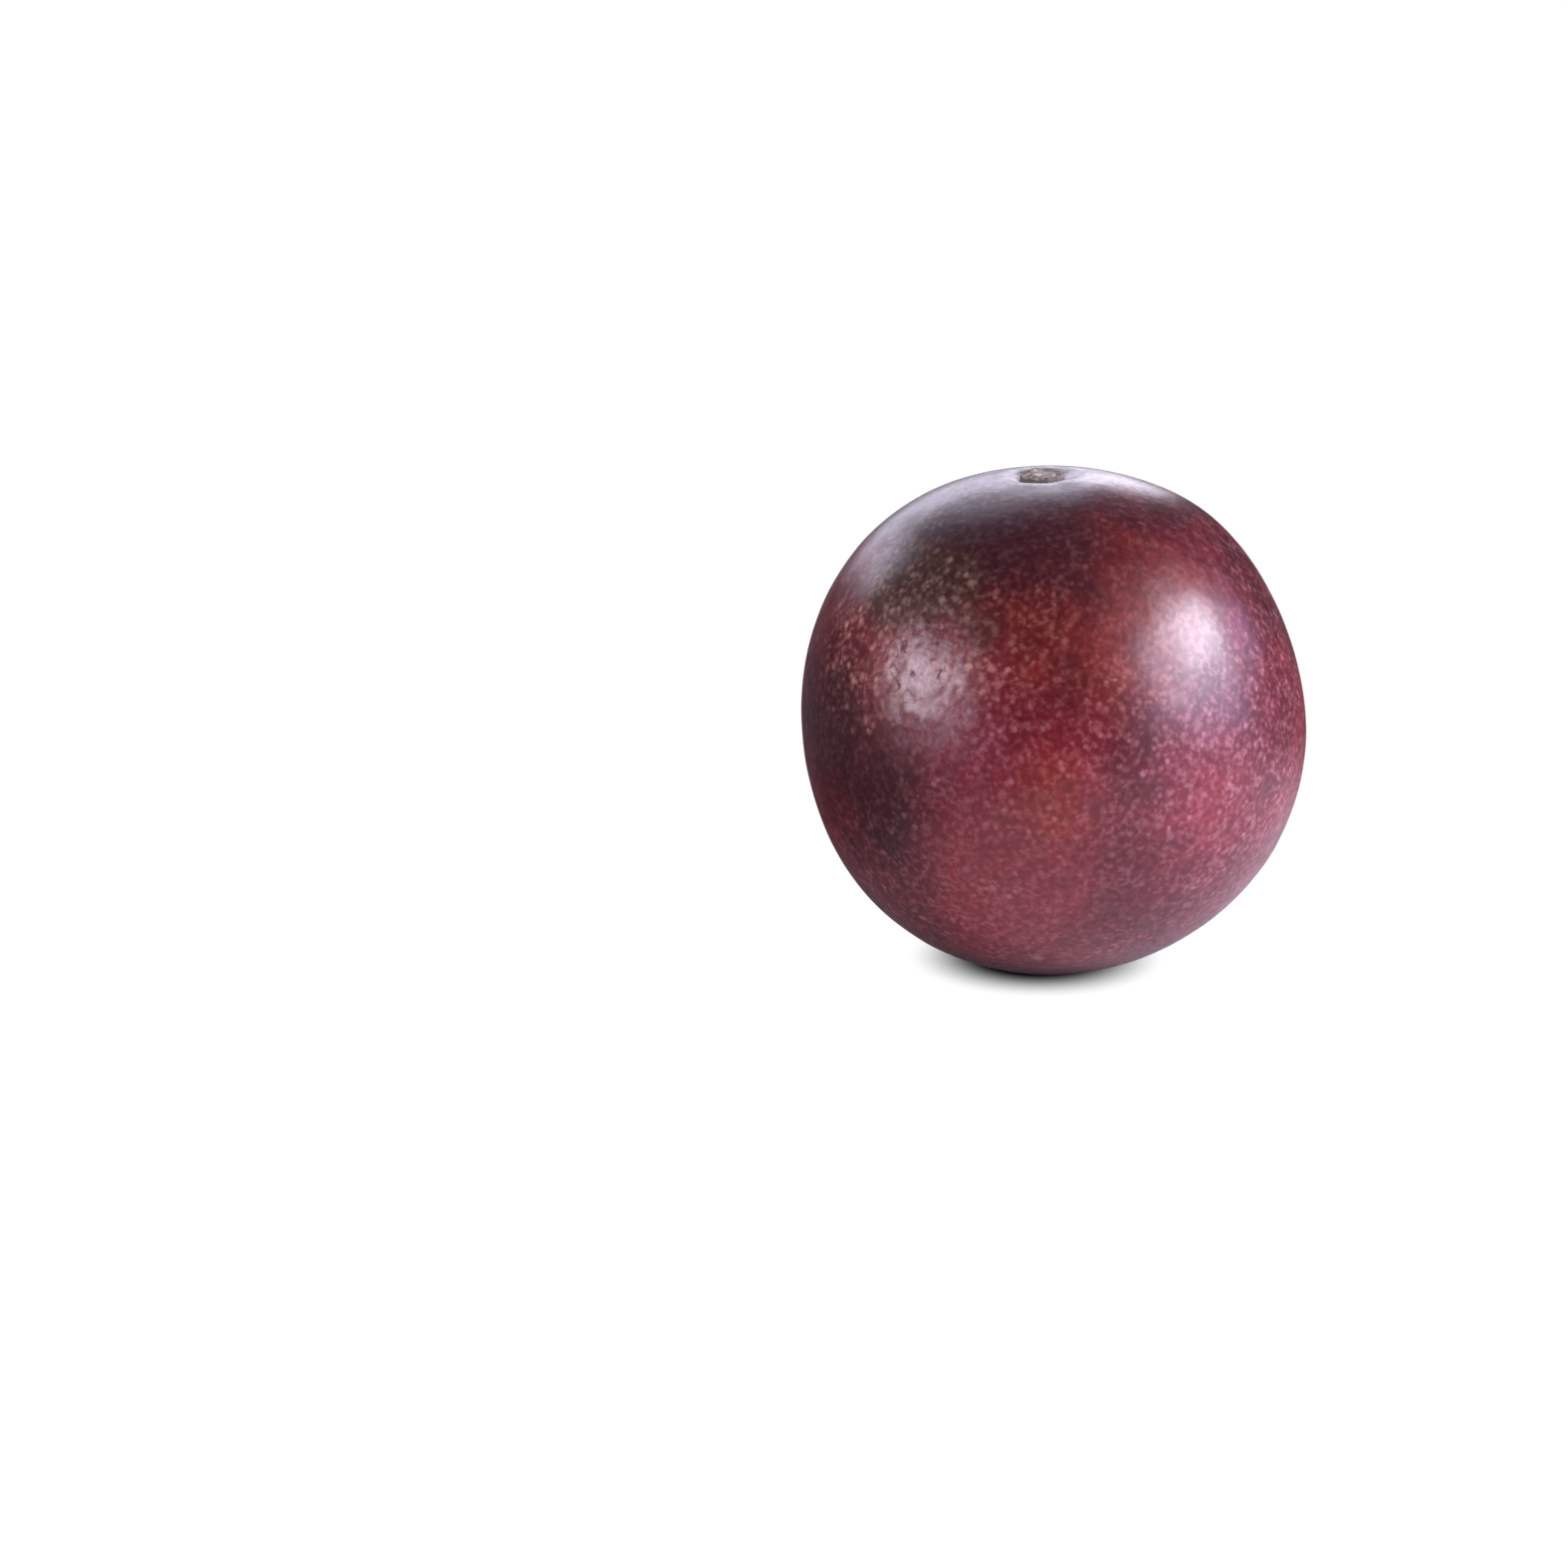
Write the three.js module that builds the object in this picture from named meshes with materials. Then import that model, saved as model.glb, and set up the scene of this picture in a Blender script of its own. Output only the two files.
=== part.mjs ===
// A whole ripe purple passion fruit, resting upright on its blossom end, with the woody stub of its
// stalk seated in the shallow dimple at the top.
//
// Frame: millimetres, +Z up, origin at the bottom centre of the fruit's box, on the flat resting spot.
// The fruit's best side faces -Y. Each piece is a lathe turned about the fruit's own stem axis, then
// given the slow swells, lobes and flats of a grown thing.
import * as THREE from "three";

// ---- Driving dimensions (mm, unless a name says otherwise) ----
const RADIUS = 28.35; // mean radius of the fruit
const STEM_TILT_DEG = 4.3; // the stem axis leans this far towards -X
const POLE_STRETCH = 0.004; // the fruit is this much longer than wide, as a share of its radius
const SQUARENESS = 0.007; // fuller shoulders between pole and waist, as a share of its radius
const LOBE_DEPTH = 0.006; // three faint lobes round the waist, one for each carpel
const LOBE_TURN_DEG = 38; // where the first lobe faces, turned from +X towards +Y

const DIMPLE_DEPTH = 1.15; // how far the skin sinks to the stalk
const DIMPLE_WIDTH = 3.1; // radius at which the dimple has lost 40% of its depth

const REST_CUT = 0.9; // how much of the round form the resting spot flattens away
const REST_BLEND = 0.2; // half the height over which the flat turns into the round side

const STUB_RADIUS = 2.45; // outer radius of the woody collar
const STUB_HEIGHT = 0.62; // collar height above the dimple's floor
const PEG_RADIUS = 1.15; // the broken core of the stalk inside the collar
const PEG_RISE = 0.14; // core height above the collar
const VALLEY_DROP = 0.22; // groove depth between collar and core
const EDGE_ROUND = 0.08; // how much the collar's and the core's edges are worn down
const SPLINTER_RISE = 0.5; // the torn fibre that stands up at the back
const SPLINTER_FACES_DEG = 108; // its place on the collar, turned from +X towards +Y
const SPLINTER_SPREAD_DEG = 15;
const SEAT_GAP = 0.1; // clearance between the stub and the skin beneath it

// The torn edge of the collar: how many waves go round it, and how high each wave stands.
const TEARS = [
  { waves: 5, height: 0.06 },
  { waves: 8, height: 0.04 },
];

// Swells (+) and flats (-) on the skin: where each faces, its height and how far it spreads.
const SWELLS = [
  { azimuthDeg: 165, elevationDeg: 46, height: 0.65, spreadDeg: 28 }, // full left shoulder
  { azimuthDeg: 183, elevationDeg: -46, height: 0.35, spreadDeg: 20 }, // full lower left side
  { azimuthDeg: 3, elevationDeg: 21, height: -0.9, spreadDeg: 20 }, // flatter right side
  { azimuthDeg: -18, elevationDeg: -50, height: -0.55, spreadDeg: 24 }, // slanting lower right side
  { azimuthDeg: 60, elevationDeg: 62, height: -0.3, spreadDeg: 16 }, // low spot behind the stem end
  { azimuthDeg: -80, elevationDeg: 0, height: 0.2, spreadDeg: 30 }, // soft swell in front
  { azimuthDeg: 110, elevationDeg: 12, height: 0.3, spreadDeg: 28 }, // soft swell behind
];

const FRUIT_RINGS = 48;
const FRUIT_SEGMENTS = 48;
const RING_CROWDING = 0.11; // how much closer together the rings are at the two ends
const STUB_SEGMENTS = 30;

// ---- Shape of the skin ----
const degrees = THREE.MathUtils.degToRad;

function facing(azimuthDeg, elevationDeg) {
  const azimuth = degrees(azimuthDeg);
  const elevation = degrees(elevationDeg);
  const level = Math.cos(elevation);
  return new THREE.Vector3(level * Math.cos(azimuth), level * Math.sin(azimuth), Math.sin(elevation));
}

// Distance from the fruit's centre to its skin, before the dimple, along a unit vector.
function skinRadius(direction) {
  const latitude = Math.asin(THREE.MathUtils.clamp(direction.z, -1, 1));
  const longitude = Math.atan2(direction.y, direction.x);
  const waist = Math.cos(latitude) ** 3;
  const lobes = LOBE_DEPTH * waist * Math.cos(3 * (longitude - degrees(LOBE_TURN_DEG)));
  const stretch = POLE_STRETCH * Math.sin(latitude) ** 2;
  let radius = RADIUS * (1 + stretch - SQUARENESS * Math.cos(4 * latitude) + lobes);
  for (const swell of SWELLS) {
    const away = direction.angleTo(facing(swell.azimuthDeg, swell.elevationDeg));
    radius += swell.height * Math.exp(-0.5 * (away / degrees(swell.spreadDeg)) ** 2);
  }
  return radius;
}

// How far the skin is sunk at a distance from the stem axis.
function dimpleDepth(fromAxis) {
  return DIMPLE_DEPTH * Math.exp(-0.5 * (fromAxis / DIMPLE_WIDTH) ** 2);
}

// Point on the skin along a unit vector, in the fruit's own frame (+Z along the stem axis).
function skinPoint(direction) {
  const point = direction.clone().multiplyScalar(skinRadius(direction));
  if (point.z > 0) point.z -= dimpleDepth(Math.hypot(point.x, point.y));
  return point;
}

// Height of the resting spot's plane below the fruit's centre.
const REST_DROP = RADIUS * (1 + POLE_STRETCH - SQUARENESS) - REST_CUT;

// The round form settled onto its resting spot: heights below the plane come up to it smoothly.
function settle(height) {
  if (height >= REST_BLEND) return height;
  if (height <= -REST_BLEND) return 0;
  return (height + REST_BLEND) ** 2 / (4 * REST_BLEND);
}

const stemTurn = new THREE.Matrix4().makeRotationY(-degrees(STEM_TILT_DEG));

// From the fruit's own frame to the part's frame, before the box is centred.
function place(point) {
  const placed = point.clone().applyMatrix4(stemTurn);
  placed.z = settle(placed.z + REST_DROP);
  return placed;
}

// ---- Lathe geometries ----
// A lathe turns its profile about +Y; this stands it up so that it turns about +Z.
function turned(profile, segments) {
  return new THREE.LatheGeometry(profile, segments).rotateX(Math.PI / 2);
}

function moveVertices(geometry, move) {
  const position = geometry.getAttribute("position");
  const point = new THREE.Vector3();
  for (let i = 0; i < position.count; i += 1) {
    const moved = move(point.fromBufferAttribute(position, i));
    position.setXYZ(i, moved.x, moved.y, moved.z);
  }
  geometry.computeVertexNormals();
  return geometry;
}

// Half a circle from the blossom end up to the stem end, its points closer together at both ends.
function roundProfile() {
  const profile = [];
  for (let ring = 0; ring <= FRUIT_RINGS; ring += 1) {
    const share = ring / FRUIT_RINGS;
    const polar = Math.PI * (share - RING_CROWDING * Math.sin(2 * Math.PI * share));
    const onAxis = ring === 0 || ring === FRUIT_RINGS;
    profile.push(new THREE.Vector2(onAxis ? 0 : Math.sin(polar), -Math.cos(polar)));
  }
  return profile;
}

function fruitGeometry() {
  return moveVertices(turned(roundProfile(), FRUIT_SEGMENTS), (point) => place(skinPoint(point.normalize())));
}

// Height of the skin over a place near the stem axis, in the fruit's own frame.
function skinHeight(x, y) {
  const direction = new THREE.Vector3(x, y, Math.sqrt(RADIUS ** 2 - x ** 2 - y ** 2)).normalize();
  return skinPoint(direction).z;
}

// Heights above the stub's underside: out along the underside, then a collar, a groove and the core.
function stubProfile() {
  const valley = STUB_HEIGHT - VALLEY_DROP;
  const peak = STUB_HEIGHT + PEG_RISE;
  const outline = [
    [0, 0],
    [0.3 * STUB_RADIUS, 0],
    [0.6 * STUB_RADIUS, 0],
    [0.92 * STUB_RADIUS, 0],
    [STUB_RADIUS, 0.6 * STUB_HEIGHT],
    [0.97 * STUB_RADIUS, STUB_HEIGHT - EDGE_ROUND],
    [0.86 * STUB_RADIUS, STUB_HEIGHT],
    [0.72 * STUB_RADIUS, STUB_HEIGHT - EDGE_ROUND],
    [1.18 * PEG_RADIUS, valley],
    [PEG_RADIUS, peak - EDGE_ROUND],
    [0.7 * PEG_RADIUS, peak],
    [0, peak - EDGE_ROUND],
  ];
  return outline.map(([radius, height]) => new THREE.Vector2(radius, height));
}

// How much the torn edge of the collar stands up: low waves all round and one splinter at the back.
function tornEdge(azimuth) {
  const turn = azimuth - degrees(SPLINTER_FACES_DEG);
  const away = Math.atan2(Math.sin(turn), Math.cos(turn));
  const splinter = SPLINTER_RISE * Math.exp(-0.5 * (away / degrees(SPLINTER_SPREAD_DEG)) ** 2);
  return TEARS.reduce((height, tear) => height + tear.height * Math.sin(tear.waves * azimuth), splinter);
}

// Seats a point of the stub: the underside follows the skin, and the top stands over the dimple.
function seated(point) {
  const aboveSkin = THREE.MathUtils.smoothstep(point.z, 0, 0.5 * STUB_HEIGHT);
  const onCollar = THREE.MathUtils.smoothstep(Math.hypot(point.x, point.y), PEG_RADIUS, 0.8 * STUB_RADIUS);
  const seat = THREE.MathUtils.lerp(skinHeight(point.x, point.y), skinHeight(0, 0), aboveSkin) + SEAT_GAP;
  const torn = onCollar * aboveSkin * tornEdge(Math.atan2(point.y, point.x));
  return new THREE.Vector3(point.x, point.y, seat + point.z + torn);
}

function stubGeometry() {
  return moveVertices(turned(stubProfile(), STUB_SEGMENTS), (point) => place(seated(point)));
}

// ---- Finishes ----
const skin = new THREE.MeshStandardMaterial({ name: "skin", color: 0x6e2b35, roughness: 0.38, metalness: 0 });
const bark = new THREE.MeshStandardMaterial({ name: "bark", color: 0x6b5748, roughness: 0.85, metalness: 0 });

// ---- Assembly ----
const fruit = new THREE.Mesh(fruitGeometry(), skin);
fruit.name = "fruit";
const stemStub = new THREE.Mesh(stubGeometry(), bark);
stemStub.name = "stem_stub";

// Both pieces move together, so that the fruit's box is centred on the origin.
fruit.geometry.computeBoundingBox();
const middle = fruit.geometry.boundingBox.getCenter(new THREE.Vector3());
const passionFruit = new THREE.Group();
for (const piece of [fruit, stemStub]) {
  piece.position.set(-middle.x, -middle.y, 0);
  passionFruit.add(piece);
}

export default passionFruit;
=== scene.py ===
"""A whole ripe purple passion fruit standing on its blossom end, with the woody stub of its stalk.

The skin and the stub are modelled here as fine meshes that stand for the CAD nodes `fruit` and
`stem_stub`. Shapes are worked out in millimetres and written in metres, in the CAD frame: +Z up,
the origin under the fruit, the fruit's best side towards -Y.
"""
import functools
import math

import bpy
import numpy as np
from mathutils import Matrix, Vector, noise


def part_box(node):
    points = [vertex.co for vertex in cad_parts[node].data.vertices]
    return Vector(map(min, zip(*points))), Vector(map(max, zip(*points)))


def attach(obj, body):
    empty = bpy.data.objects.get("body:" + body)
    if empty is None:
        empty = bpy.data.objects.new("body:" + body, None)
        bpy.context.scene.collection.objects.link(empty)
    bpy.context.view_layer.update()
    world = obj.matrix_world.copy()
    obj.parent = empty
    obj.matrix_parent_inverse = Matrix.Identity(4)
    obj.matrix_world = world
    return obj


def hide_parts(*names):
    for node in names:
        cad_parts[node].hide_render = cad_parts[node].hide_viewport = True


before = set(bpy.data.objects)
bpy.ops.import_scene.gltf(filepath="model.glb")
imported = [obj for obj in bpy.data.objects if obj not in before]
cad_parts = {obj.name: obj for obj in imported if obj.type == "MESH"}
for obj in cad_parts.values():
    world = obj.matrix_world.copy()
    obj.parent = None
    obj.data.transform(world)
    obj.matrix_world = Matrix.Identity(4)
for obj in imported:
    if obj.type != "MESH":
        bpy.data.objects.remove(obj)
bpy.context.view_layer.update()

MM = 0.001  # metres in a millimetre

# ---- The fruit's form (mm, unless a name says otherwise), the same as the CAD node's ----
RADIUS = 28.35
STEM_TILT_DEG = 4.3
POLE_STRETCH = 0.004
SQUARENESS = 0.007
LOBE_DEPTH = 0.006
LOBE_TURN_DEG = 38
DIMPLE_DEPTH = 1.15
DIMPLE_WIDTH = 3.1
REST_CUT = 0.9
REST_BLEND = 0.2

# Swells (+) and flats (-): azimuth and elevation in degrees, height, spread in degrees.
SWELLS = [
    (165, 46, 0.65, 28),
    (183, -46, 0.35, 20),
    (3, 21, -0.9, 20),
    (-18, -50, -0.55, 24),
    (60, 62, -0.3, 16),
    (-80, 0, 0.2, 30),
    (110, 12, 0.3, 28),
]

# ---- Fine relief of the skin ----
SKIN_GRID = 300  # squares along each side of the folded sheet that makes the skin
RELIEF = [  # wavelength, height of the slow and fine waves in the skin
    (9.0, 0.10),
    (4.2, 0.035),
    (1.9, 0.010),
]
WRINKLE_PATCH = (-124, 24, 16)  # azimuth, elevation and spread of the uneven shoulder, in degrees
WRINKLE_HEIGHT = 0.09
WRINKLE_LENGTHS = (2.4, 1.2)  # wavelengths of the coarse and the fine wrinkles
FINE_WRINKLES = 0.45  # height of the fine wrinkles as a share of the coarse ones
PIT_LENGTH = 1.1  # wavelength of the small pits among the wrinkles
PIT_DEPTH = 0.4  # as a share of the coarse wrinkles' height
FOLD_DEPTH = 0.09  # short folds that run from the dimple's lip towards the stalk
FOLD_RADIUS = 4.0
FOLD_WIDTH = 1.5
FOLD_TURNS = 2.2  # how fast the folds change on the way round the stem
FOLD_DRIFT = 0.12  # how slowly they change on the way out from it
LIP_HEIGHT = 0.16  # the skin swells a little in a ring round the dimple
LIP_RADIUS = 4.3
LIP_WIDTH = 1.0
MOAT_DEPTH = 0.06  # the skin sinks a little more right round the stub
MOAT_RADIUS = 2.75
MOAT_WIDTH = 0.4

# ---- The stub of the stalk ----
STUB_RADIUS = 2.45
STUB_HEIGHT = 0.62
SPLINTER_FACES_DEG = 108
SPLINTER_RISE = 0.5
SPLINTER_SPREAD_DEG = 13
STUB_ROUND = 200
STUB_RINGS = 110

# ---- Pigment, and some painted shade: base amount, then patches as azimuth, elevation and spread in degrees, and amount ----
REDNESS_AND_PAINTED_SHADE = (0.45, [  # from deep purple-brown, 0, to glowing red, 1
    (-95, 66, 27, -0.50),
    (-118, 52, 12, -0.34),
    (-74, 54, 12, -0.08),
    (-38, 50, 12, 0.30),
    (-80, 20, 8, -0.20),
    (-136, 2, 9, -0.25),
    (-104, -22, 14, 0.55),
    (-88, -14, 20, 0.32),
    (-96, 5, 12, 0.34),
    (-78, 32, 10, 0.34),
    (-120, 18, 12, 0.45),
    (-147, 28, 11, 0.50),
    (-60, 4, 8, 0.25),
    (-69, 1, 7, -0.50),
    (-57, -10, 9, 0.15),
    (-88, 22, 10, -0.12),
    (-108, 28, 8, 0.26),
    (-109, 37, 6, 0.22),
    (-84, 64, 7, 0.16),
    (-137, 19, 7, 0.22),
    (-57, 0, 7, 0.12),
    (-76, -27, 9, -0.30),
    # The four patches below, and the one at -136, 2, are painted shade: they darken the left and lower
    # left, away from the key light.
    (-129, -30, 9, -0.25),
    (-158, 16, 9, -0.30),
    (-150, 8, 13, -0.50),
    (-130, -10, 12, -0.50),
    (-46, 10, 15, -0.15),
    (-62, -24, 12, -0.10),
    (-50, -3, 14, 0.25),
    (-96, -38, 14, 0.32),
    (-12, 38, 16, -0.35),
    (20, -20, 24, 0.30),
    (60, 20, 18, 0.35),
    (95, -15, 22, 0.40),
    (120, 30, 16, -0.20),
    (150, -20, 20, 0.25),
    (175, 35, 14, 0.20),
    (40, 55, 20, -0.25),
    (140, 60, 20, -0.30),
])
SPECKLING_AND_PAINTED_SHADE = (0.60, [  # how many pale lenticels there are
    (-95, 66, 26, -0.45),
    (-60, 50, 18, -0.25),
    # Painted shade: the patches at -150, -4, at -164, 14 and at -136, 4 take pale lenticels off the shaded
    # left side.
    (-150, -4, 16, -0.50),
    (-164, 14, 12, -0.40),
    (-134, 41, 11, 0.40),
    (-78, 32, 9, -0.15),
    (-95, 40, 12, 0.22),
    (-55, 53, 13, -0.30),
    (-66, -27, 14, -0.22),
    (-60, 3, 8, 0.15),
    (-60, 4, 8, 0.20),
    (-104, 5, 12, 0.15),
    (-136, 4, 10, -0.30),
    (-118, 52, 9, -0.35),
    (-150, 26, 10, 0.40),
    (-118, 26, 10, 0.25),
    (-98, 6, 12, 0.10),
    (-58, -2, 12, 0.15),
    (-50, -6, 18, 0.25),
    (-137, 18, 7, 0.35),
    (-110, 23, 7, 0.20),
    (-69, 0, 6, -0.25),
    (-76, -27, 9, -0.15),
    (60, 10, 24, 0.30),
    (150, 0, 24, 0.20),
])
TINTS = {  # where the ground and the lenticels take another colour
    "crown": [(-126, 66, 18, 1.0), (150, 62, 20, 0.8)],
    # The rose patches give a rose-pink tone; their extra blue, low on the right, is partly a painted violet
    # sheen.
    "rose_and_sheen": [(-48, -14, 26, 1.0), (-40, 12, 12, 0.6), (-112, 6, 13, 0.9), (95, -30, 30, 0.8)],
    "salmon": [(-148, 26, 12, 1.1), (-138, 17, 8, 0.9), (-109, 26, 8, 0.95), (150, 10, 14, 0.6)],
    "tan": [(-130, 43, 9, 1.0), (-144, 40, 8, 0.9), (-108, 33, 5, 0.7), (60, 40, 14, 0.6)],
    "ember": [
        (-77, 34, 12, 1.0),
        (-66, 48, 14, 0.7),
        (-94, 46, 14, 0.7),
        (-92, -3, 9, 0.8),
        (30, 0, 20, 0.5),
    ],
}
MARKS = [  # small healed knocks, pale and a little raised
    (-94, -50, 1.0, 1.2),
    (48, -12, 1.6, 1.0),
    (132, 24, 1.3, 0.9),
]
SCAR_EDGE_DEG = (4.9, 5.9)  # angle from the stem at which the brown skin round the stalk ends
BLOSSOM_EDGE_DEG = (1.2, 3.4)  # angle from the other end at which the flower's dry mark ends

# ---- Colours of the skin (linear) ----
DEEP_PURPLE = (0.060, 0.010, 0.014)
GLOWING_RED = (0.320, 0.020, 0.030)
# The rose glow's extra blue is partly painted violet sheen.
TINTED_GLOW = {"rose_and_sheen": (0.315, 0.030, 0.050), "ember": (0.36, 0.026, 0.014)}
HOLLOW = (0.050, 0.002, 0.004)
CROWN_GREY = (0.050, 0.014, 0.020)
TAN_GROUND = (0.085, 0.030, 0.020)
LENTICEL = (0.58, 0.210, 0.205)
# The crown's lenticels: a grey tone that is partly painted glints of the wax coat.
CROWN_LENTICEL_AND_GLINT = (0.34, 0.24, 0.25)
TINTED_LENTICEL = {
    # The rose lenticels' lilac is partly painted sheen.
    "rose_and_sheen": (0.55, 0.235, 0.272),
    "ember": (0.60, 0.22, 0.155),
    "salmon": (0.72, 0.32, 0.25),
    "tan": (0.47, 0.295, 0.190),
}
MARK_COLOUR = (0.50, 0.27, 0.24)
SCAR_BROWN = (0.035, 0.020, 0.014)
CROWN_COVER = 0.85  # how far the grey of the crown hides the ground
TAN_COVER = 0.7
MARK_COVER = 0.7
END_COVER = 0.9
SCUFF_COVER = 0.55

# ---- The skin's pattern (lengths in mm) ----
# A ramp gives the values it runs between, then what they turn into where that isn't 0 and 1.
TEXTURE_TURN_DEG = (35.3, 0.0, 45.0)  # the noises' grids would show as rings on the best side unturned
WARP_LENGTH = 0.8
WARP_REACH = 0.30  # how far the fine patterns are pushed about
CLOUD_LENGTH = 7.0
CLOUD_RAMP = (0.3, 0.7, -0.16, 0.16)  # noise to a change in redness
GRAIN_LENGTH = 0.72
BLOTCH_LENGTH = 2.0
GRAIN_HOLLOWS = (0.52, 0.32, 0.0, 0.24)  # grain to darkening
BLOTCH_HOLLOWS = (0.54, 0.34, 0.0, 0.20)  # blotches to darkening
GRAIN_CRESTS = (0.44, 0.72)
BLOTCH_CRESTS = (0.34, 0.60, 0.32, 1.0)  # how much of the crests the blotches leave
CREST_STRENGTH = (0.0, 1.0, 0.12, 0.42)  # speckling to how pale the crests are
FINE_LENTICELS = (0.92, 0.33, 0.22)  # spacing, then radius and softness as shares of it
LARGE_LENTICELS = (1.9, 0.22, 0.13)
CROWDED_LENTICELS = (1.25, 0.36, 0.20)
CLUSTERS = (0.38, 0.58, 0.45, 1.0)  # blotches to how many of the small lenticels are left
FINE_STRENGTH = (0.0, 1.0, 0.12, 0.80)  # speckling to how strong the fine lenticels are
LARGE_STRENGTH = (0.0, 0.6, 0.10, 0.44)
TAN_CROWDING = 0.8  # how strong the crowded lenticels are on the tan shoulder
SCUFF_LENGTH = 1.5
SCUFF_EDGE = (0.035, 0.012)  # distance of the noise from its middle value to the scuff's strength
SCUFF_BLOTCHES = (0.48, 0.56)
SCUFF_PATCH = (0.80, 0.95)  # only in the middle of the uneven shoulder
ROUGHNESS_RAMP = (0.3, 0.7, 0.36, 0.43)  # noise to roughness
ROUGHNESS_LENGTH = 2.0
LENTICEL_ROUGHNESS = 0.08
WORN_ROUGHNESS = 0.4
END_WEAR = 0.4  # how much of the wax is gone at the two ends
SCUFF_WEAR = 0.5
WAX_RAMP = (0.35, 0.65, 0.62, 0.87)  # grain to the weight of the wax coat
WAX_ROUGHNESS = 0.27
SKIN_IOR = 1.45
PEEL_LENGTH = 0.9
PEEL_HEIGHT = 0.045
LENTICEL_HEIGHT = 0.024
CRACKLE_LENGTH = 1.4
CRACKLE_RAMP = (0.38, 0.62, 0.0, 0.045)  # noise to height
MARK_HEIGHT = 0.12
SKIN_BUMP = 0.8

# ---- The stub's wood: colours (linear) and lengths in mm ----
WOOD_DARK = (0.30, 0.25, 0.21)
WOOD_PALE = (0.50, 0.44, 0.36)
PITH = (0.74, 0.66, 0.54)
BARK = (0.20, 0.16, 0.14)
BARK_COVER = 0.85
FIBRE_SHADES = ((0.55, 0.55, 0.55), (1.4, 1.4, 1.4))
FIBRE_LENGTH = 0.25
STREAK_LENGTH = 0.9
WOOD_ROUGHNESS = (0.3, 0.7, 0.7, 0.92)  # fibres to roughness
FIBRE_HEIGHT = 0.06
WOOD_BUMP = 0.9

# ---- The camera ----
PHOTO_SIZE = 1575  # pixels along each side of the photograph
FRUIT_CENTRE_PX = (1057.5, 723.0)
FRUIT_PX_PER_MM = 9.0
FRUIT_CENTRE_HEIGHT = 27.4
CAMERA_ELEVATION_DEG = 15.0
LENS_MM = 100.0
SENSOR_MM = 36.0

# ---- The studio ----
SOFTBOX_DISTANCE = 0.9  # metres from the fruit
SOFTBOXES = [  # name, azimuth, elevation, width and height in metres, radiance, colour
    ("key", -5.0, 33.0, 0.42, 0.34, 11.3, (1.0, 0.95, 1.06)),
    ("key_diffuser", -15.0, 27.5, 0.80, 0.50, 5.3, (1.0, 0.91, 1.20)),
    ("key_edge", 25.0, 19.0, 0.22, 0.28, 1.5, (1.1, 0.82, 1.75)),
    ("low_right", -10.0, 4.0, 0.60, 0.36, 2.3, (1.0, 0.86, 1.40)),
    ("low_front", -38.0, 5.0, 0.30, 0.38, 1.5, (1.0, 0.90, 1.25)),
    ("fill_left", -158.5, 18.0, 0.40, 0.32, 9.2, (1.0, 0.95, 1.10)),
    ("fill_low", -146.0, 2.0, 0.30, 0.34, 1.5, (1.0, 0.92, 1.25)),
    ("backdrop", 101.0, 17.5, 0.74, 0.34, 1.95, (0.94, 0.90, 1.10)),
    ("backdrop_high", 101.0, 35.0, 0.40, 0.46, 1.10, (0.94, 0.90, 1.10)),
    ("backdrop_right", 83.0, 17.5, 0.18, 0.19, 2.5, (0.92, 0.92, 1.04)),
    ("backdrop_left", 135.0, 23.0, 0.26, 0.20, 2.8, (0.94, 0.90, 1.10)),
]
ROOM = (0.02, 0.02, 0.024)  # the dim room's radiance, which the fruit sees and the camera doesn't
PAINTED_LIGHT_POOL = (70.0, -60.0, 0.0)  # mm; a pool of light is painted into the table's colour round here
PAINTED_LIGHT_POOL_REACH = (75.0, 150.0)  # mm from there over which that falls away
PAINTED_POOL_LEVELS = (0.72, 0.07)  # how much the table throws back, a painted pool of light, at the middle of the pool and outside it
# A painted contact shadow: near this point the table's glow fades out for the camera, over a near-black
# colour.
CONTACT_SHADOW_CENTRE = (-1.4, -1.0, 0.0)  # mm
CONTACT_SHADOW_REACH = (6.5, 15.0)  # mm from there over which the table turns from shadow to white
CONTACT_SHADOW_COLOUR = (0.030, 0.022, 0.030)
UNDER_FRUIT_REACH = (6.0, 32.0)  # mm from the resting spot over which painted shade under the fruit fades out of the table's colour
UNDER_FRUIT_SHADE = 0.56
TABLE_SIDE = 2.5  # metres from the middle of the table to its sides
TABLE_ROUGHNESS = 0.9
TABLE_SPECULAR = 0.1


def unit(azimuth_deg, elevation_deg):
    """The unit vector that faces an azimuth (from +X towards +Y) and an elevation."""
    azimuth, elevation = math.radians(azimuth_deg), math.radians(elevation_deg)
    level = math.cos(elevation)
    return np.array([level * math.cos(azimuth), level * math.sin(azimuth), math.sin(elevation)])


def spread_from(directions, azimuth_deg, elevation_deg, spread_deg):
    """A soft round patch on the sphere: 1 at its middle, 0.6 at its spread."""
    away = np.arccos(np.clip(directions @ unit(azimuth_deg, elevation_deg), -1, 1))
    return np.exp(-0.5 * (away / math.radians(spread_deg)) ** 2)


def smooth(x, low, high):
    """0 below low, 1 above high, and a smooth step between."""
    t = np.clip((x - low) / (high - low), 0, 1)
    return t * t * (3 - 2 * t)


def wave(points, wavelength, seed):
    """Smooth noise from about -1 to 1 at each point."""
    shift = Vector((17.3 * seed, -9.1 * seed, 5.7 * seed))
    return np.array([noise.noise(Vector(p) / wavelength + shift) for p in points])


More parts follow.
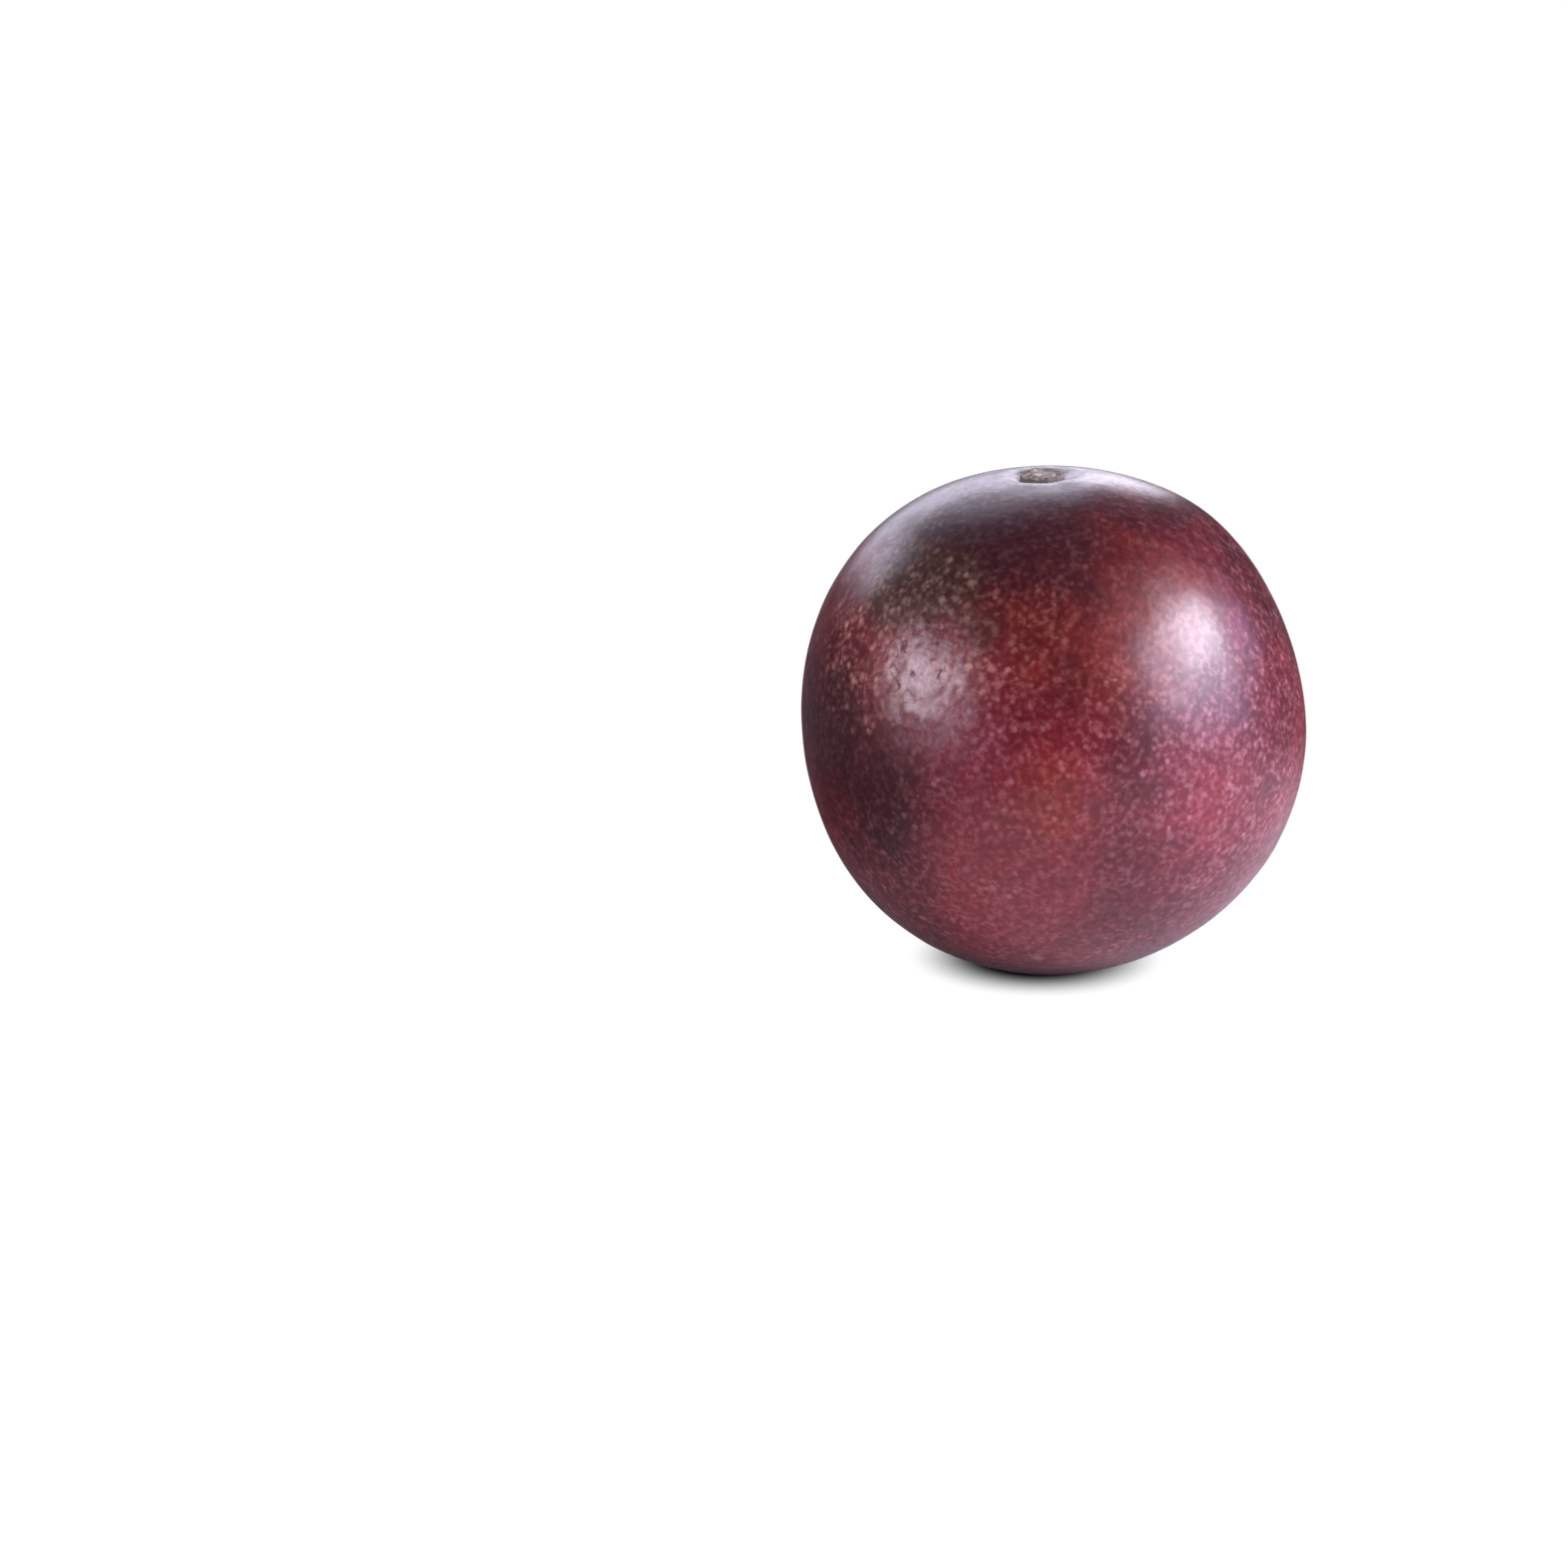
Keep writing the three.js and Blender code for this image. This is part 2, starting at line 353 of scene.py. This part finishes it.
# ---- Meshes ----
def folded_sheet(squares):
    """An even square grid folded over a sphere: directions, quads and a UV for each quad corner."""
    line = np.linspace(-1, 1, squares + 1)
    u, v = np.meshgrid(line, line, indexing="ij")
    inward = 1 - (np.abs(u) + np.abs(v))
    r = 1 - np.abs(inward)
    turn = (math.pi / 4) * ((np.abs(v) - np.abs(u)) / np.where(r > 0, r, 1) + 1)
    z = np.sign(inward) * (1 - r**2)
    level = r * np.sqrt(np.maximum(2 - r**2, 0))
    x = np.copysign(np.cos(turn) * level, u)
    y = np.copysign(np.sin(turn) * level, v)
    directions = np.stack([x, y, z], -1).reshape(-1, 3)

    index = np.arange((squares + 1) ** 2).reshape(squares + 1, squares + 1)
    merged = index.copy()
    for side in (0, squares):
        merged[side, :] = np.minimum(merged[side, :], merged[side, ::-1])
        merged[:, side] = np.minimum(merged[:, side], merged[::-1, side])
    merged[[0, 0, squares, squares], [0, squares, 0, squares]] = 0
    corners = [(0, 0), (1, 0), (1, 1), (0, 1)]
    rows, columns = np.meshgrid(np.arange(squares), np.arange(squares), indexing="ij")
    quads = np.stack([merged[rows + a, columns + b] for a, b in corners], -1).reshape(-1, 4)
    uvs = np.stack([np.stack([rows + a, columns + b], -1) for a, b in corners], 2)
    kept, quads = np.unique(quads, return_inverse=True)
    return directions[kept], quads.reshape(-1, 4), uvs.reshape(-1, 2) / squares


def mesh_object(name, points_mm, faces, attributes, uvs=None):
    """A smooth-shaded mesh object in metres, with one float attribute per named mask."""
    mesh = bpy.data.meshes.new(name)
    mesh.from_pydata((points_mm * MM).tolist(), [], faces)
    mesh.polygons.foreach_set("use_smooth", [True] * len(mesh.polygons))
    if uvs is not None:
        mesh.uv_layers.new(name="OFBake").data.foreach_set("uv", np.asarray(uvs, np.float32).ravel())
    for key, values in attributes.items():
        mesh.attributes.new(key, "FLOAT", "POINT").data.foreach_set("value", np.asarray(values, np.float32))
    mesh.update()
    piece = bpy.data.objects.new(name, mesh)
    bpy.context.scene.collection.objects.link(piece)
    return piece


# ---- The skin ----
def skin_radius(directions):
    latitude = np.arcsin(np.clip(directions[:, 2], -1, 1))
    longitude = np.arctan2(directions[:, 1], directions[:, 0])
    lobes = LOBE_DEPTH * np.cos(latitude) ** 3 * np.cos(3 * (longitude - math.radians(LOBE_TURN_DEG)))
    stretch = POLE_STRETCH * np.sin(latitude) ** 2
    radius = RADIUS * (1 + stretch - SQUARENESS * np.cos(4 * latitude) + lobes)
    for azimuth, elevation, height, spread in SWELLS:
        radius = radius + height * spread_from(directions, azimuth, elevation, spread)
    return radius


def skin_points(directions, relief):
    """The skin in the fruit's own frame, with the dimple sunk along the stem axis."""
    points = directions * (skin_radius(directions) + relief)[:, None]
    from_axis = np.hypot(points[:, 0], points[:, 1])
    dimple = DIMPLE_DEPTH * np.exp(-0.5 * (from_axis / DIMPLE_WIDTH) ** 2)
    points[:, 2] -= np.where(points[:, 2] > 0, dimple, 0)
    return points


def settled(points):
    """From the fruit's own frame to the part's: tilted, and flattened smoothly onto z = 0."""
    tilt = math.radians(STEM_TILT_DEG)
    x = points[:, 0] * math.cos(tilt) - points[:, 2] * math.sin(tilt)
    z = points[:, 0] * math.sin(tilt) + points[:, 2] * math.cos(tilt)
    height = z + RADIUS * (1 + POLE_STRETCH - SQUARENESS) - REST_CUT
    blend = (np.clip(height, -REST_BLEND, REST_BLEND) + REST_BLEND) ** 2 / (4 * REST_BLEND)
    return np.stack([x, points[:, 1], np.where(height > REST_BLEND, height, blend)], -1)


def ring(from_axis, radius, width):
    """A soft ring round the stem axis: 1 at its radius, 0.6 at its width from there."""
    return np.exp(-0.5 * ((from_axis - radius) / width) ** 2)


def skin_relief(directions):
    """Small heights of the skin: slow waves, the uneven shoulder, and the folds round the stalk."""
    points = directions * RADIUS
    relief = sum(height * wave(points, length, seed) for seed, (length, height) in enumerate(RELIEF))
    coarse, fine = (wave(points, length, seed) for length, seed in zip(WRINKLE_LENGTHS, (11, 12)))
    pits = smooth(wave(points, PIT_LENGTH, 13), 0.3, 0.6)
    uneven = coarse + FINE_WRINKLES * fine - PIT_DEPTH * pits
    relief += WRINKLE_HEIGHT * spread_from(directions, *WRINKLE_PATCH) * uneven

    from_axis = np.hypot(points[:, 0], points[:, 1])
    around = points[:, :2] / np.maximum(from_axis, 1e-6)[:, None]
    folds = wave(np.column_stack([FOLD_TURNS * around, FOLD_DRIFT * from_axis]), 1.0, 21)
    rings = FOLD_DEPTH * ring(from_axis, FOLD_RADIUS, FOLD_WIDTH) * folds
    rings += LIP_HEIGHT * ring(from_axis, LIP_RADIUS, LIP_WIDTH)
    rings -= MOAT_DEPTH * ring(from_axis, MOAT_RADIUS, MOAT_WIDTH)
    return relief + (directions[:, 2] > 0) * rings


def patches(facing, base, spots):
    """A base amount with soft round patches added to it or taken away."""
    return base + sum(amount * spread_from(facing, *spot) for *spot, amount in spots)


def skin_masks(directions, facing):
    """Where the skin's pigments lie, with some painted shade and sheen among them, as masks from 0 to 1.

    `directions` are in the fruit's own frame, with the stem axis up, and `facing` in the part's.
    """
    points = directions * RADIUS
    ragged = 0.5 * wave(points, 5.0, 31) + 0.35 * wave(points, 2.2, 32)
    masks = {
        "redness_and_painted_shade": np.clip(patches(facing, *REDNESS_AND_PAINTED_SHADE) + 0.15 * ragged, 0, 1),
        "speckling_and_painted_shade": np.clip(patches(facing, *SPECKLING_AND_PAINTED_SHADE) + 0.25 * ragged, 0, 1),
    }
    for name, spots in TINTS.items():
        masks[name] = smooth(patches(facing, 0, spots) + 0.5 * ragged, 0.25, 0.95)
    from_stem = np.degrees(np.arccos(np.clip(directions[:, 2], -1, 1)))
    masks["mark"] = smooth(patches(facing, 0, MARKS) + 0.15 * ragged, 0.35, 0.75)
    masks["wrinkled"] = spread_from(facing, *WRINKLE_PATCH)
    masks["scar"] = 1 - smooth(from_stem + 0.8 * ragged, *SCAR_EDGE_DEG)
    masks["blossom"] = 1 - smooth(180 - from_stem + 0.6 * ragged, *BLOSSOM_EDGE_DEG)
    return masks


def make_skin():
    """The whole skin, one closed sheet."""
    directions, quads, uvs = folded_sheet(SKIN_GRID)
    relief = skin_relief(directions)
    points = settled(skin_points(directions, relief))
    low, high = (np.array(corner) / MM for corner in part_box("fruit"))
    middle = (points.max(0) + points.min(0)) / 2
    centre = np.array([*(low + high)[:2] / 2 - middle[:2], 0])
    placed = points + centre
    facing = placed - [0, 0, FRUIT_CENTRE_HEIGHT]
    facing /= np.linalg.norm(facing, axis=1)[:, None]
    masks = skin_masks(directions, facing)
    return mesh_object("skin_of_fruit", placed, quads.tolist(), masks, uvs), centre


# ---- Materials ----
class Shader:
    """A short way to write a material's node tree."""

    def __init__(self, name):
        self.material = bpy.data.materials.new(name)
        self.material.use_nodes = True
        self.tree = self.material.node_tree
        self.surface = self.tree.nodes["Principled BSDF"]

    def node(self, kind, inputs=(), **settings):
        made = self.tree.nodes.new(kind)
        for key, value in settings.items():
            setattr(made, key, value)
        for key, value in dict(inputs).items():
            self.put(made.inputs[key], value)
        return made

    def put(self, socket, value):
        if isinstance(value, bpy.types.NodeSocket):
            self.tree.links.new(value, socket)
        else:
            socket.default_value = value

    def math(self, operation, a, b=0.0, clamp=False):
        return self.node("ShaderNodeMath", {0: a, 1: b}, operation=operation, use_clamp=clamp).outputs[0]

    def times(self, a, b):
        return self.math("MULTIPLY", a, b)

    def larger(self, a, b):
        return self.math("MAXIMUM", a, b)

    def vector(self, operation, a, b):
        return self.node("ShaderNodeVectorMath", {0: a, 1: b}, operation=operation).outputs

    def scaled(self, vector, scale):
        return self.node("ShaderNodeVectorMath", {0: vector, "Scale": scale}, operation="SCALE").outputs[0]

    def step(self, value, low, high, to_low=0.0, to_high=1.0):
        """A smooth ramp from one value to another."""
        inputs = {"Value": value, "From Min": low, "From Max": high, "To Min": to_low, "To Max": to_high}
        return self.node("ShaderNodeMapRange", inputs, interpolation_type="SMOOTHSTEP").outputs[0]

    def mix(self, factor, a, b, blend="MIX"):
        made = self.node("ShaderNodeMix", data_type="RGBA", blend_type=blend)
        for socket, value in ((made.inputs[0], factor), (made.inputs[6], a), (made.inputs[7], b)):
            self.put(socket, value if not isinstance(value, tuple) else (*value, 1.0))
        return made.outputs[2]

    def mask(self, name):
        return self.node("ShaderNodeAttribute", attribute_name=name).outputs["Fac"]

    def millimetres(self):
        """Object coordinates, in millimetres."""
        return self.scaled(self.node("ShaderNodeTexCoord").outputs["Object"], 1 / MM)

    def turned(self, place):
        """The same space turned so that no grid of a noise lies flat on the fruit's best side."""
        turn = {"Vector": place, "Rotation": tuple(math.radians(angle) for angle in TEXTURE_TURN_DEG)}
        return self.node("ShaderNodeVectorRotate", turn, rotation_type="EULER_XYZ").outputs[0]

    def noise(self, place, wavelength, detail=2.0, roughness=0.5, distortion=0.0, output="Fac"):
        inputs = {"Vector": place, "Scale": 1 / wavelength, "Detail": detail, "Roughness": roughness}
        return self.node("ShaderNodeTexNoise", {**inputs, "Distortion": distortion}).outputs[output]

    def bump(self, height, strength):
        """Bends the surface's normal to a height in millimetres."""
        inputs = {"Height": height, "Strength": strength, "Distance": MM}
        self.put(self.surface.inputs["Normal"], self.node("ShaderNodeBump", inputs).outputs[0])


def speckle_layer(shader, place, spacing, radius, softness):
    """Small spots of uneven size and strength, from 0 to 1; radius and softness are shares of spacing."""
    cells = shader.node("ShaderNodeTexVoronoi", {"Vector": place, "Scale": 1 / spacing})
    chance = shader.node("ShaderNodeSeparateColor", {0: cells.outputs["Color"]})
    reach = shader.step(chance.outputs[0], 0.0, 1.0, 0.5 * radius, radius)
    edge = shader.math("SUBTRACT", reach, cells.outputs["Distance"])
    spot = shader.step(edge, -softness, softness)
    return shader.times(spot, shader.step(chance.outputs[1], 0.0, 0.9, 0.15, 1.0))


def warped(shader, place):
    """The same space, with every point pushed about a little."""
    wobble = shader.noise(place, WARP_LENGTH, 1.0, output="Color")
    push = shader.vector("SUBTRACT", wobble, (0.5, 0.5, 0.5))[0]
    return shader.vector("ADD", place, shader.scaled(push, WARP_REACH))[0]


def ground_and_lenticel_colours(shader, place):
    """The ground, its red drifting from place to place and darkened by painted shade on the left, and the
    colour of the lenticels over it.
    """
    clouds = shader.noise(place, CLOUD_LENGTH, 4.0, 0.55)
    redness_and_painted_shade = shader.math("ADD", shader.mask("redness_and_painted_shade"), shader.step(clouds, *CLOUD_RAMP), clamp=True)
    glow = GLOWING_RED
    for name, colour in TINTED_GLOW.items():
        glow = shader.mix(shader.mask(name), glow, colour)
    ground = shader.mix(redness_and_painted_shade, DEEP_PURPLE, glow)
    ground = shader.mix(shader.times(shader.mask("crown"), CROWN_COVER), ground, CROWN_GREY)
    ground = shader.mix(shader.times(shader.mask("tan"), TAN_COVER), ground, TAN_GROUND)
    # On the crown the pale lenticels are partly painted glints.
    pale = shader.mix(shader.mask("crown"), LENTICEL, CROWN_LENTICEL_AND_GLINT)
    for name, colour in TINTED_LENTICEL.items():
        pale = shader.mix(shader.mask(name), pale, colour)
    return ground, pale


def grained(shader, ground, pale, grain, blotches):
    """One fine mottle that darkens the ground in its hollows and pales it on its crests."""
    hollows = shader.math("ADD", shader.step(grain, *GRAIN_HOLLOWS), shader.step(blotches, *BLOTCH_HOLLOWS))
    crests = shader.times(shader.step(grain, *GRAIN_CRESTS), shader.step(blotches, *BLOTCH_CRESTS))
    flecks = shader.times(crests, shader.step(shader.mask("speckling_and_painted_shade"), *CREST_STRENGTH))
    return shader.mix(flecks, shader.mix(hollows, ground, HOLLOW), pale)


def lenticels(shader, uneven, blotches):
    """Many fine spots, fewer large ones, and crowded ones on the tan and salmon shoulders."""
    clusters = shader.step(blotches, *CLUSTERS)
    speckling_and_painted_shade = shader.mask("speckling_and_painted_shade")
    shoulders = shader.larger(shader.times(shader.mask("tan"), TAN_CROWDING), shader.mask("salmon"))
    fine = shader.times(speckle_layer(shader, uneven, *FINE_LENTICELS), clusters)
    crowded = shader.times(speckle_layer(shader, uneven, *CROWDED_LENTICELS), clusters)
    large = speckle_layer(shader, uneven, *LARGE_LENTICELS)
    spots = shader.times(fine, shader.step(speckling_and_painted_shade, *FINE_STRENGTH))
    spots = shader.larger(spots, shader.times(crowded, shoulders))
    return shader.larger(spots, shader.times(large, shader.step(speckling_and_painted_shade, *LARGE_STRENGTH)))


def dark_scuffs(shader, place, blotches):
    """Short dark lines over the uneven shoulder."""
    from_middle = shader.math("SUBTRACT", shader.noise(place, SCUFF_LENGTH, 1.0), 0.5)
    lines = shader.step(shader.math("ABSOLUTE", from_middle), *SCUFF_EDGE)
    lines = shader.times(lines, shader.step(blotches, *SCUFF_BLOTCHES))
    return shader.times(lines, shader.step(shader.mask("wrinkled"), *SCUFF_PATCH))


def skin_material():
    shader = Shader("waxy_purple_skin")
    place = shader.turned(shader.millimetres())
    uneven = warped(shader, place)
    grain = shader.noise(uneven, GRAIN_LENGTH, 1.2)
    blotches = shader.noise(uneven, BLOTCH_LENGTH)
    spots = lenticels(shader, uneven, blotches)
    marks = shader.times(shader.mask("mark"), MARK_COVER)
    scuffs = dark_scuffs(shader, place, blotches)
    ends = shader.larger(shader.mask("scar"), shader.mask("blossom"))

    ground, pale = ground_and_lenticel_colours(shader, place)
    colour = shader.mix(spots, grained(shader, ground, pale, grain, blotches), pale)
    colour = shader.mix(marks, colour, MARK_COLOUR)
    colour = shader.mix(shader.times(scuffs, SCUFF_COVER), colour, HOLLOW)
    colour = shader.mix(shader.times(ends, END_COVER), colour, SCAR_BROWN)
    shader.put(shader.surface.inputs["Base Color"], colour)

    # Wax: smooth, a little duller over the lenticels and much duller over the ends and the scuffs.
    worn = shader.math("ADD", shader.times(ends, END_WEAR), shader.times(scuffs, SCUFF_WEAR))
    rough = shader.step(shader.noise(uneven, ROUGHNESS_LENGTH, 3.0), *ROUGHNESS_RAMP)
    rough = shader.math("ADD", rough, shader.times(spots, LENTICEL_ROUGHNESS))
    rough = shader.math("ADD", rough, shader.times(worn, WORN_ROUGHNESS), clamp=True)
    shader.put(shader.surface.inputs["Roughness"], rough)
    shader.surface.inputs["IOR"].default_value = SKIN_IOR
    shader.surface.inputs["Coat Roughness"].default_value = WAX_ROUGHNESS
    wax = shader.math("SUBTRACT", shader.step(grain, *WAX_RAMP), worn, clamp=True)
    shader.put(shader.surface.inputs["Coat Weight"], wax)

    # Relief too fine for the mesh: raised lenticels over an orange-peel surface.
    peel = shader.noise(uneven, PEEL_LENGTH, 1.2)
    crackle = shader.step(shader.noise(place, CRACKLE_LENGTH, distortion=0.2), *CRACKLE_RAMP)
    heights = [
        shader.times(peel, PEEL_HEIGHT),
        shader.times(spots, LENTICEL_HEIGHT),
        shader.times(shader.mask("wrinkled"), crackle),
        shader.times(marks, MARK_HEIGHT),
    ]
    shader.bump(functools.reduce(functools.partial(shader.math, "ADD"), heights), SKIN_BUMP)
    return shader.material


# ---- Stub ----
def stub_profile(share):
    """Radius and height along the stub, from its root round to its middle, in mm."""
    outline = np.array([  # shares of the stub's radius and of its height
        (0.0, -1.3),
        (0.82, -1.3),
        (0.93, -0.6),
        (0.98, 0.0),
        (1.0, 0.6),
        (0.98, 0.88),
        (0.92, 1.0),
        (0.84, 0.98),
        (0.76, 0.84),
        (0.68, 0.74),
        (0.61, 0.86),
        (0.54, 1.08),
        (0.43, 1.2),
        (0.29, 1.14),
        (0.15, 1.06),
        (0.0, 1.08),
    ])
    along = np.linspace(0, 1, len(outline))
    radius = STUB_RADIUS * np.interp(share, along, outline[:, 0])
    return radius, STUB_HEIGHT * np.interp(share, along, outline[:, 1])


def make_stub(centre):
    """The broken end of the stalk: a torn collar, a groove and a fibrous core."""
    radius, height = stub_profile(np.linspace(0, 1, STUB_RINGS + 2)[1:-1])
    azimuth = np.linspace(0, 2 * math.pi, STUB_ROUND, endpoint=False)
    r, a = (grid.ravel() for grid in np.meshgrid(radius, azimuth, indexing="ij"))
    h = np.repeat(height, STUB_ROUND)
    on_top = np.repeat(smooth(np.linspace(0, 1, STUB_RINGS), 0.25, 0.36), STUB_ROUND)
    on_collar = smooth(r / STUB_RADIUS, 0.6, 0.8)
    flat = np.stack([r * np.cos(a), r * np.sin(a), h], -1)
    tear = wave(np.stack([np.cos(a), np.sin(a), 0 * a], -1), 0.25, 41)
    fibre = wave(flat * np.array([1, 1, 0.25]), 0.22, 42)
    lump = wave(flat, 0.7, 43)
    away = np.degrees(np.angle(np.exp(1j * (a - math.radians(SPLINTER_FACES_DEG)))))
    on_rim = smooth(np.abs(r / STUB_RADIUS - 0.86), 0.2, 0.0)
    splinter = SPLINTER_RISE * np.exp(-0.5 * (away / SPLINTER_SPREAD_DEG) ** 2) * on_rim
    h = h + on_top * (0.13 * on_collar * tear + 0.05 * fibre + 0.09 * lump + splinter)
    r = r * (1 + 0.035 * tear + 0.02 * lump * on_top)
    ends = [[0, 0, stub_profile(0.0)[1]], [0, 0, stub_profile(1.0)[1]]]
    points = np.vstack([np.stack([r * np.cos(a), r * np.sin(a), h], -1), ends])

    index = np.arange(STUB_RINGS * STUB_ROUND).reshape(STUB_RINGS, STUB_ROUND)
    after = np.roll(index, -1, 1)
    faces = np.stack([index[:-1], after[:-1], after[1:], index[1:]], -1).reshape(-1, 4).tolist()
    root, middle = STUB_RINGS * STUB_ROUND, STUB_RINGS * STUB_ROUND + 1
    faces += [(root, after[0, k], index[0, k]) for k in range(STUB_ROUND)]
    faces += [(middle, index[-1, k], after[-1, k]) for k in range(STUB_ROUND)]

    seat = skin_points(np.array([[0.0, 0.0, 1.0]]), np.zeros(1))[0, 2]
    placed = settled(points + np.array([0, 0, seat])) + centre
    ragged = wave(points, 0.35, 44)
    from_axis = np.hypot(points[:, 0], points[:, 1])
    from_pith = np.hypot(points[:, 0] + 0.3, points[:, 1])
    masks = {
        "bark": smooth(from_axis + 0.3 * ragged, 1.75, 2.3),
        "pith": 1 - smooth(from_pith + 0.35 * ragged, 0.3, 0.7),
    }
    return mesh_object("stalk_stub", placed, faces, masks)


def stub_material():
    shader = Shader("broken_stalk_wood")
    place = shader.millimetres()
    fibres = shader.noise(place, FIBRE_LENGTH, 4.0, 0.65)
    streaks = shader.noise(place, STREAK_LENGTH, 3.0)
    colour = shader.mix(shader.step(streaks, 0.35, 0.65), WOOD_DARK, WOOD_PALE)
    colour = shader.mix(shader.mask("pith"), colour, PITH)
    colour = shader.mix(shader.times(shader.mask("bark"), BARK_COVER), colour, BARK)
    shade = shader.mix(shader.step(fibres, 0.3, 0.7), *FIBRE_SHADES)
    colour = shader.mix(1.0, colour, shade, "MULTIPLY")
    shader.put(shader.surface.inputs["Base Color"], colour)
    shader.put(shader.surface.inputs["Roughness"], shader.step(fibres, *WOOD_ROUGHNESS))
    shader.bump(shader.times(fibres, FIBRE_HEIGHT), WOOD_BUMP)
    return shader.material


# ---- Studio ----
def make_floor():
    """A wide white table at z = 0 that the camera sees burnt out, except right under the fruit, where a
    contact shadow is painted.
    """
    corners = [(x * TABLE_SIDE, y * TABLE_SIDE, 0) for x, y in ((-1, -1), (1, -1), (1, 1), (-1, 1))]
    mesh = bpy.data.meshes.new("floor")
    mesh.from_pydata(corners, [], [(0, 1, 2, 3)])
    floor = bpy.data.objects.new("floor", mesh)
    bpy.context.scene.collection.objects.link(floor)

    shader = Shader("white_table")
    place = shader.millimetres()
    seen = shader.node("ShaderNodeLightPath").outputs["Is Camera Ray"]
    from_shadow = shader.vector("DISTANCE", place, CONTACT_SHADOW_CENTRE)["Value"]
    from_pool = shader.vector("DISTANCE", place, PAINTED_LIGHT_POOL)["Value"]
    from_rest = shader.vector("DISTANCE", place, (0.0, 0.0, 0.0))["Value"]
    # Painted shadow: the glow that the camera sees fades out by the fruit.
    burnt_out = shader.step(from_shadow, *CONTACT_SHADOW_REACH)
    # Painted light and shade in the colour that the fruit sees: a pool of light to the front right, and
    # shade right under the fruit.
    shade = shader.step(from_pool, *PAINTED_LIGHT_POOL_REACH, *PAINTED_POOL_LEVELS)
    shade = shader.times(shade, shader.step(from_rest, *UNDER_FRUIT_REACH, UNDER_FRUIT_SHADE, 1.0))
    shader.put(shader.surface.inputs["Base Color"], shader.mix(seen, shade, CONTACT_SHADOW_COLOUR))
    shader.surface.inputs["Roughness"].default_value = TABLE_ROUGHNESS
    shader.surface.inputs["Specular IOR Level"].default_value = TABLE_SPECULAR
    shader.surface.inputs["Emission Color"].default_value = (1, 1, 1, 1)
    shader.put(shader.surface.inputs["Emission Strength"], shader.times(burnt_out, seen))
    mesh.materials.append(shader.material)


def softbox(name, azimuth, elevation, width, height, radiance, colour):
    """A soft rectangular light that faces the fruit."""
    lamp = bpy.data.lights.new(name, "AREA")
    lamp.shape = "RECTANGLE"
    lamp.size, lamp.size_y = width, height
    lamp.energy = radiance * math.pi * width * height
    lamp.color = colour
    holder = bpy.data.objects.new(name, lamp)
    way = Vector(unit(azimuth, elevation))
    holder.location = Vector((0, 0, FRUIT_CENTRE_HEIGHT * MM)) + way * SOFTBOX_DISTANCE
    holder.rotation_euler = way.to_track_quat("Z", "Y").to_euler()
    bpy.context.scene.collection.objects.link(holder)


def make_studio():
    """The softboxes, and a dim room that the camera sees as plain white."""
    for name, *light in SOFTBOXES:
        softbox(name, *light)
    world = bpy.data.worlds.new("studio")
    world.use_nodes = True
    tree = world.node_tree
    lit = tree.nodes["Background"]
    lit.inputs["Color"].default_value = (*ROOM, 1)
    seen = tree.nodes.new("ShaderNodeBackground")
    seen.inputs["Color"].default_value = (1, 1, 1, 1)
    path = tree.nodes.new("ShaderNodeLightPath")
    either = tree.nodes.new("ShaderNodeMixShader")
    tree.links.new(path.outputs["Is Camera Ray"], either.inputs[0])
    tree.links.new(lit.outputs[0], either.inputs[1])
    tree.links.new(seen.outputs[0], either.inputs[2])
    tree.links.new(either.outputs[0], tree.nodes["World Output"].inputs["Surface"])
    bpy.context.scene.world = world


def make_camera():
    """The photograph's view: no roll, no shift, and the fruit right of the middle of the frame."""
    focal_px = LENS_MM / SENSOR_MM * PHOTO_SIZE
    distance = focal_px / FRUIT_PX_PER_MM * MM
    elevation = math.radians(CAMERA_ELEVATION_DEG)
    right = (FRUIT_CENTRE_PX[0] - PHOTO_SIZE / 2) / focal_px
    up = (PHOTO_SIZE / 2 - FRUIT_CENTRE_PX[1]) / focal_px
    length = math.sqrt(1 + right**2 + up**2)
    pitch = math.atan(up) + math.asin(math.sin(elevation) * length / math.sqrt(1 + up**2))
    yaw = math.atan(right / (math.cos(pitch) + up * math.sin(pitch)))
    camera = bpy.data.objects.new("camera", bpy.data.cameras.new("camera"))
    camera.data.lens = LENS_MM
    camera.data.sensor_width = SENSOR_MM
    target = Vector((0, 0, FRUIT_CENTRE_HEIGHT * MM))
    camera.location = target + distance * Vector((0, -math.cos(elevation), math.sin(elevation)))
    camera.rotation_euler = (math.pi / 2 - pitch, 0, yaw)
    bpy.context.scene.collection.objects.link(camera)
    bpy.context.scene.camera = camera


make_camera()
skin, skin_centre = make_skin()
skin.data.materials.append(skin_material())
stub = make_stub(skin_centre)
stub.data.materials.append(stub_material())
for piece, node, slot_name in ((skin, "fruit", "skin"), (stub, "stem_stub", "stub")):
    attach(piece, "root")
    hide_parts(node)
make_floor()
make_studio()
bpy.context.scene.view_settings.view_transform = "Standard"
